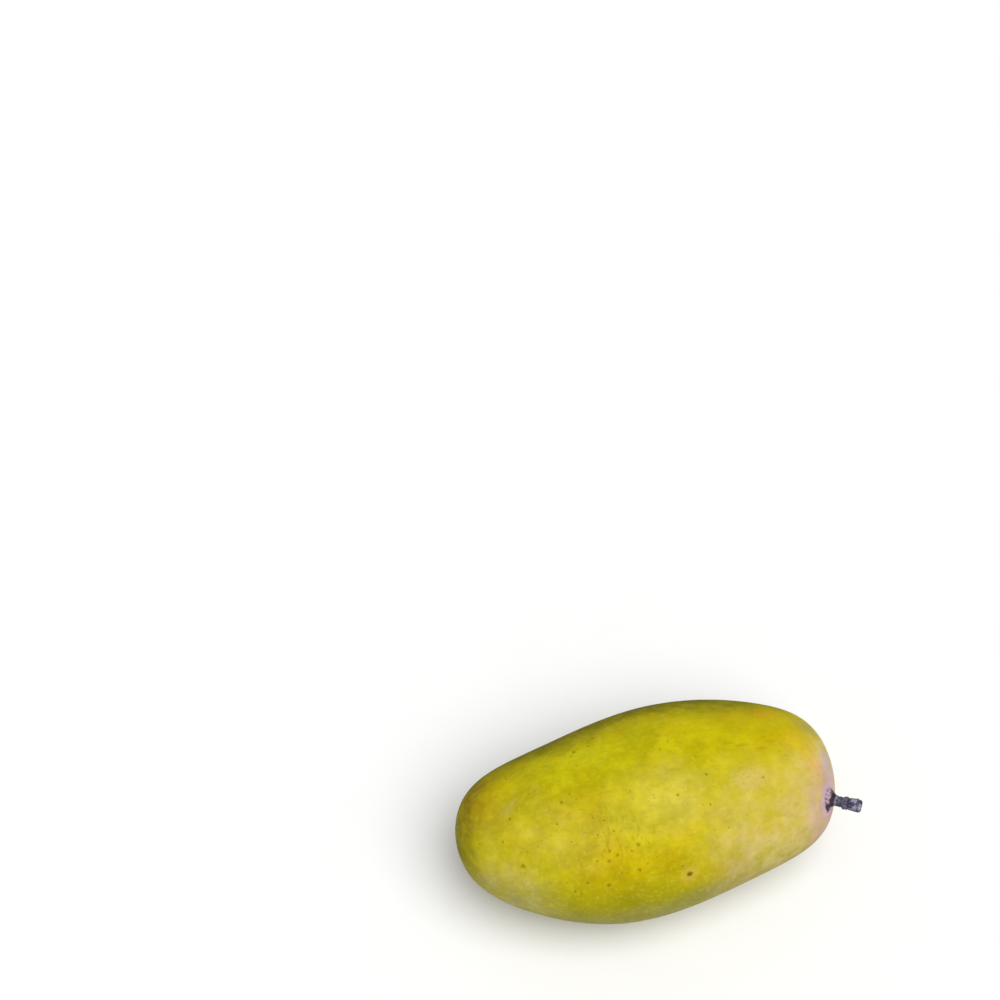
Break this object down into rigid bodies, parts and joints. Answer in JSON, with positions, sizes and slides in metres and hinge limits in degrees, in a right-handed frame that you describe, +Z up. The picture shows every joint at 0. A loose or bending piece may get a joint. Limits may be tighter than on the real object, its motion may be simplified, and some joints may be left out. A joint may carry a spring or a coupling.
{
  "type": "mango",
  "caption": "Ripe yellow mango, oblong and slightly bowed, lying on its broad side, with the short woody stub of its stalk.",
  "frame": {"origin": "under the middle of the whole object's box, on the surface that the fruit lies on", "axes": "+X along the fruit's long axis towards the stalk end, +Y across its width, away from the side that the stalk leans to, +Z up through its thickness"},
  "size_m": [0.1318, 0.0706, 0.0609],
  "materials": {
    "skin": "satin, waxy and finely speckled, yellow with olive and rosy areas",
    "stalk": "dry, rough grey bark with a darker broken end"
  },
  "bodies": {
    "root": {"fruit": "skin", "stalk": "stalk"}
  },
  "joints": []
}
